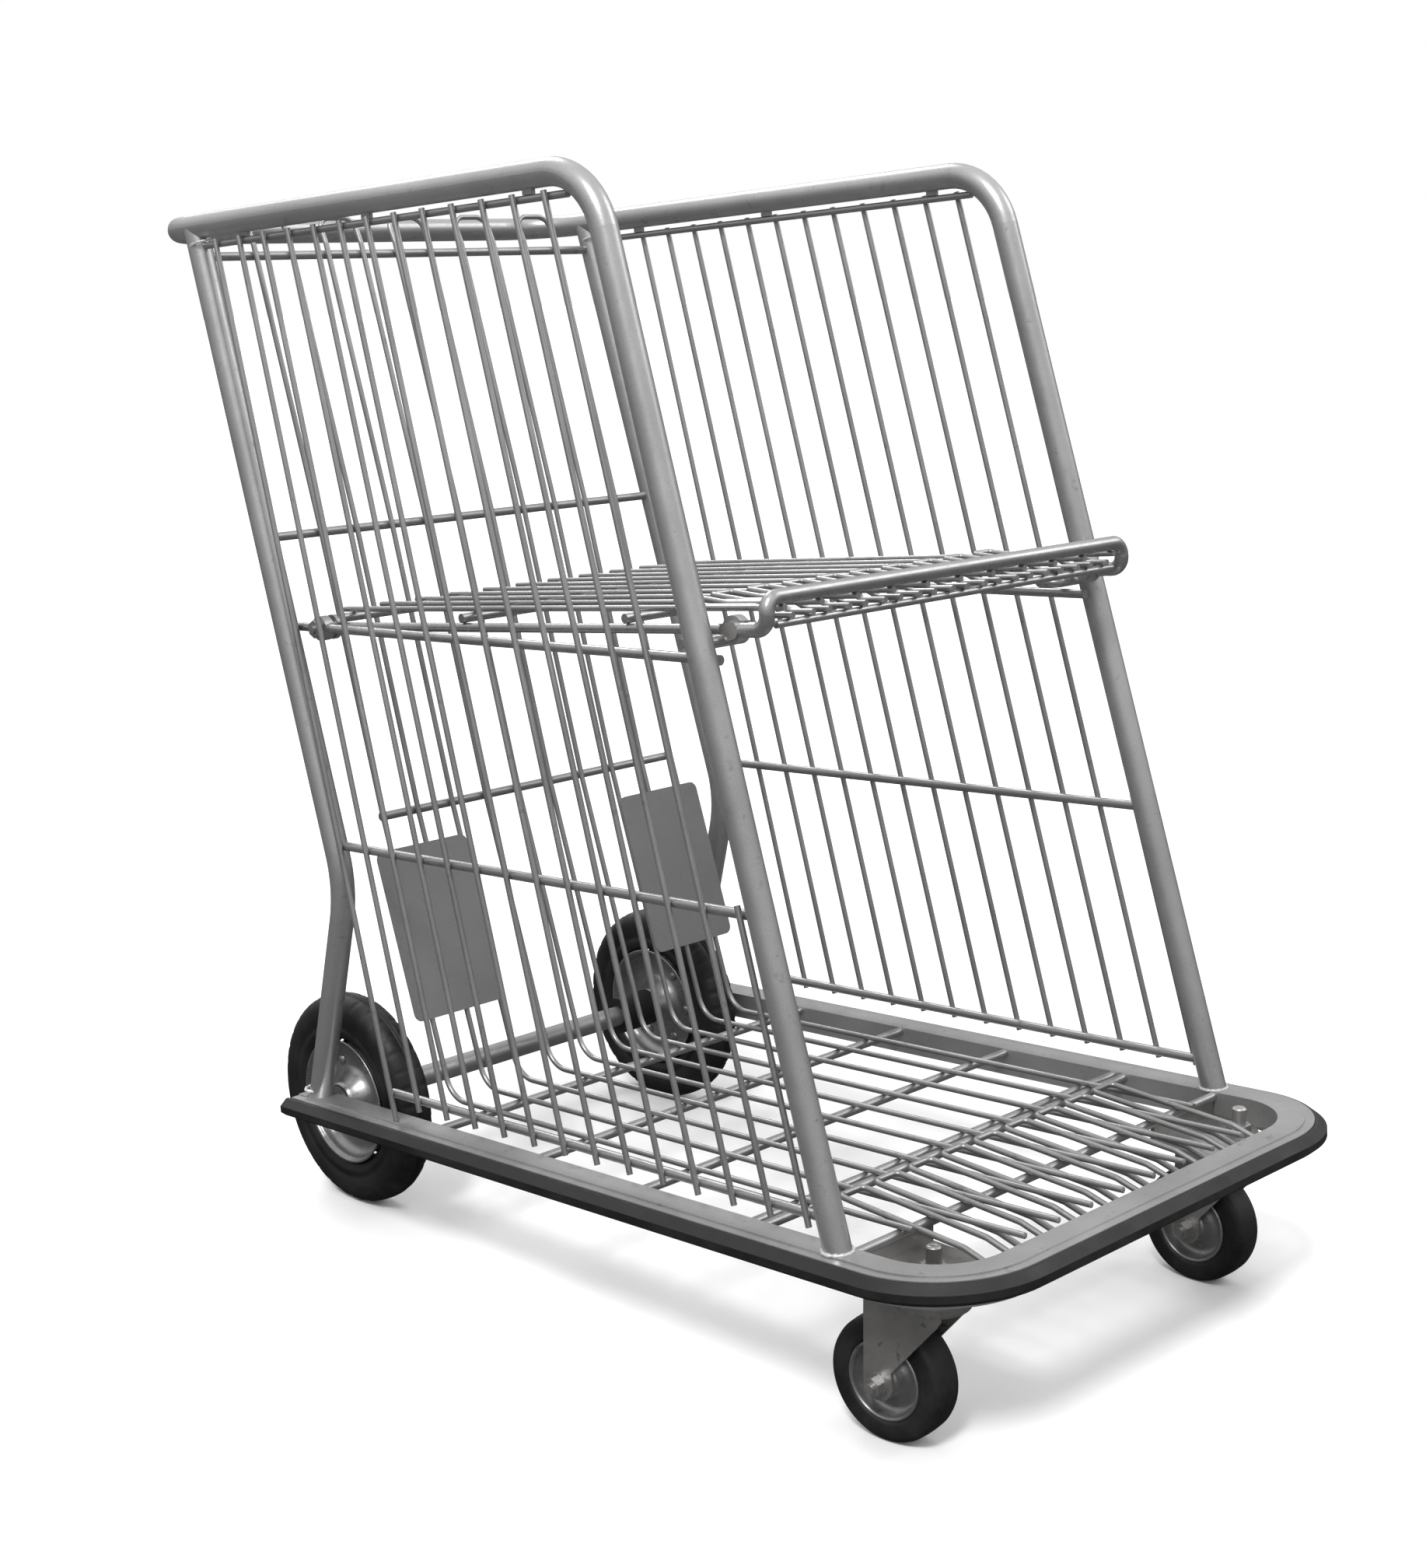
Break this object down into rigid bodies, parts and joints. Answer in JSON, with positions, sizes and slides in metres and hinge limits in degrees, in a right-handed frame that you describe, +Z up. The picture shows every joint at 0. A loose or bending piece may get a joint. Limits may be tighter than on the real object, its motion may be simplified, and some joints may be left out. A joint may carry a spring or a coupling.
{
  "type": "luggage trolley",
  "caption": "Wire basket luggage trolley with bent tube frame, folding wire shelf, large fixed rear wheels and swivel front casters",
  "frame": {"origin": "on the floor, on the middle plane, halfway between the bumper nose and the back of the handle", "axes": "+Z up, +Y towards the push handle, the casters and the open front face -Y, +X to the left hand of the person pushing"},
  "size_m": [0.538, 1.004, 0.9449],
  "materials": {
    "black_plastic": "moulded black",
    "bumper_rubber": "matt black rubber",
    "channel_paint": "silver-grey satin paint",
    "plate_paint": "grey satin paint",
    "rim_zinc": "zinc plated pressed steel",
    "shelf_wire": "bright silver paint",
    "tread_rubber": "black rubber",
    "tube_paint": "silver-grey satin paint",
    "tyre_rubber": "black rubber",
    "wire_paint": "silver-grey satin paint",
    "zinc": "zinc plated steel"
  },
  "bodies": {
    "frame": {"axle_sleeves": "black_plastic", "axle_tube": "wire_paint", "axle_washers": "zinc", "back_cross_rods": "wire_paint", "back_plates": "plate_paint", "back_wires": "wire_paint", "base_channel": "channel_paint", "bumper_strip": "bumper_rubber", "caster_nuts": "zinc", "caster_plates": "zinc", "caster_studs": "zinc", "caster_washers": "zinc", "floor_cross_rods": "wire_paint", "floor_fingers": "wire_paint", "floor_wires": "wire_paint", "main_tube": "tube_paint", "pivot_bolts": "zinc", "pivot_nuts": "zinc", "pivot_spacers": "zinc", "rear_upright_left": "tube_paint", "rear_upright_right": "tube_paint", "shelf_rest_rods": "shelf_wire", "shelf_stops": "shelf_wire", "side_rods_left": "wire_paint", "side_rods_right": "wire_paint", "side_wires_left": "wire_paint", "side_wires_right": "wire_paint", "strip_tabs": "wire_paint", "swivel_balls": "zinc", "swivel_races": "zinc", "top_strips": "wire_paint"},
    "shelf": {"shelf_front_bar": "shelf_wire", "shelf_arms": "shelf_wire", "shelf_rivets": "zinc", "shelf_wires": "shelf_wire", "shelf_cross_rods": "shelf_wire", "shelf_front_rod": "shelf_wire", "shelf_hairpins": "shelf_wire"},
    "caster_fork_left": {"caster_fork_left": "zinc", "caster_bolt_left": "zinc", "caster_bolt_nut_left": "zinc"},
    "caster_wheel_left": {"caster_tread_left": "tread_rubber", "caster_rim_left": "rim_zinc", "caster_bush_left": "black_plastic"},
    "rear_wheel_left": {"rear_tyre_left": "tyre_rubber", "rear_rim_outer_left": "rim_zinc", "rear_rim_inner_left": "rim_zinc", "rear_rivets_left": "rim_zinc", "rear_bush_left": "black_plastic"},
    "caster_fork_right": {"caster_fork_right": "zinc", "caster_bolt_right": "zinc", "caster_bolt_nut_right": "zinc"},
    "caster_wheel_right": {"caster_tread_right": "tread_rubber", "caster_rim_right": "rim_zinc", "caster_bush_right": "black_plastic"},
    "rear_wheel_right": {"rear_tyre_right": "tyre_rubber", "rear_rim_outer_right": "rim_zinc", "rear_rim_inner_right": "rim_zinc", "rear_rivets_right": "rim_zinc", "rear_bush_right": "black_plastic"}
  },
  "joints": [
    {"name": "shelf_fold", "type": "hinge", "parent": "frame", "child": "shelf", "pos_m": [0, 0.27596, 0.55165], "axis": [-1, 0, 0], "range_deg": [0, 100]},
    {"name": "caster_swivel_left", "type": "hinge", "parent": "frame", "child": "caster_fork_left", "pos_m": [0.1964, -0.4182, 0.1], "axis": [0, 0, 1], "continuous": true},
    {"name": "caster_spin_left", "type": "hinge", "parent": "caster_fork_left", "child": "caster_wheel_left", "pos_m": [0.19579, -0.38321, 0.05], "axis": [0.9998, 0.0175, 0], "continuous": true},
    {"name": "rear_wheel_spin_left", "type": "hinge", "parent": "frame", "child": "rear_wheel_left", "pos_m": [0.197, 0.29564, 0.1], "axis": [1, 0, 0], "continuous": true},
    {"name": "caster_swivel_right", "type": "hinge", "parent": "frame", "child": "caster_fork_right", "pos_m": [-0.1964, -0.4182, 0.1], "axis": [0, 0, 1], "continuous": true},
    {"name": "caster_spin_right", "type": "hinge", "parent": "caster_fork_right", "child": "caster_wheel_right", "pos_m": [-0.20006, -0.38339, 0.05], "axis": [0.9945, 0.1045, 0], "continuous": true},
    {"name": "rear_wheel_spin_right", "type": "hinge", "parent": "frame", "child": "rear_wheel_right", "pos_m": [-0.197, 0.29564, 0.1], "axis": [1, 0, 0], "continuous": true}
  ]
}
